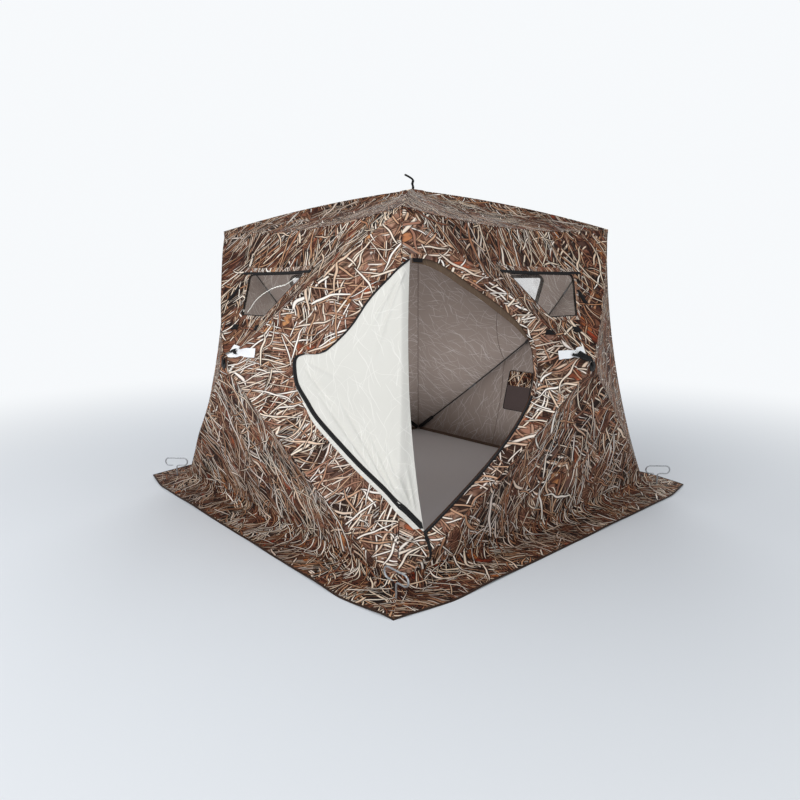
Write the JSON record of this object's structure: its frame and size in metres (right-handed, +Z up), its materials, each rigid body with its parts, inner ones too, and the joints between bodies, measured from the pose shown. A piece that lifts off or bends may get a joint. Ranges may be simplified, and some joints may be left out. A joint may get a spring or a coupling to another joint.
{
  "type": "pop-up ice fishing shelter",
  "caption": "Square pop-up fabric ice fishing shelter: hub-and-pole frame, quilted walls and roof, open corner door, film windows, ground skirt and ice anchors.",
  "frame": {"origin": "on the ground, at the middle of the square base", "axes": "+Z up; -Y out of the front wall; +X out of the wall with the door; the door is beside the corner at +X, -Y"},
  "size_m": [2.87, 2.87, 2.1488],
  "materials": {
    "shelter_fabric": null,
    "lining_fabric": "pale woven lining, faintly marked",
    "window_film": "clear flexible film",
    "black_webbing": "woven black tape and webbing",
    "pole_fibreglass": "smooth black pultruded rod",
    "black_plastic": "moulded black plastic",
    "zinc_wire": "zinc plated wire",
    "pocket_mesh": "dark mesh with a printed top strip"
  },
  "bodies": {
    "root": {"front_wall": "shelter_fabric", "front_roof_gore": "shelter_fabric", "front_window_film": "window_film", "front_window_binding": "black_webbing", "front_skirt": "shelter_fabric", "front_hub": "black_plastic", "front_poles": "pole_fibreglass", "front_hub_pull": "black_webbing", "right_wall": "shelter_fabric", "right_roof_gore": "shelter_fabric", "right_window_film": "window_film", "right_window_binding": "black_webbing", "right_skirt": "shelter_fabric", "right_hub": "black_plastic", "right_poles": "pole_fibreglass", "right_hub_pull": "black_webbing", "back_wall": "shelter_fabric", "back_roof_gore": "shelter_fabric", "back_window_film": "window_film", "back_window_binding": "black_webbing", "back_skirt": "shelter_fabric", "back_hub": "black_plastic", "back_poles": "pole_fibreglass", "back_hub_pull": "black_webbing", "left_wall": "shelter_fabric", "left_roof_gore": "shelter_fabric", "left_window_film": "window_film", "left_window_binding": "black_webbing", "left_skirt": "shelter_fabric", "left_hub": "black_plastic", "left_poles": "pole_fibreglass", "left_hub_pull": "black_webbing", "ice_anchor_1": "zinc_wire", "ice_anchor_2": "zinc_wire", "ice_anchor_3": "zinc_wire", "ice_anchor_4": "zinc_wire", "roof_hub": "black_plastic", "roof_poles": "pole_fibreglass", "base_pole_boots": "black_plastic", "top_pole_boots": "black_plastic", "roof_pole_boots": "black_plastic", "door_flap": "lining_fabric", "door_flap_zip": "black_webbing", "door_fixed_zip": "black_webbing", "door_draft_band": "shelter_fabric", "roof_pull_strap": "black_webbing", "inner_pocket": "pocket_mesh"}
  },
  "joints": []
}
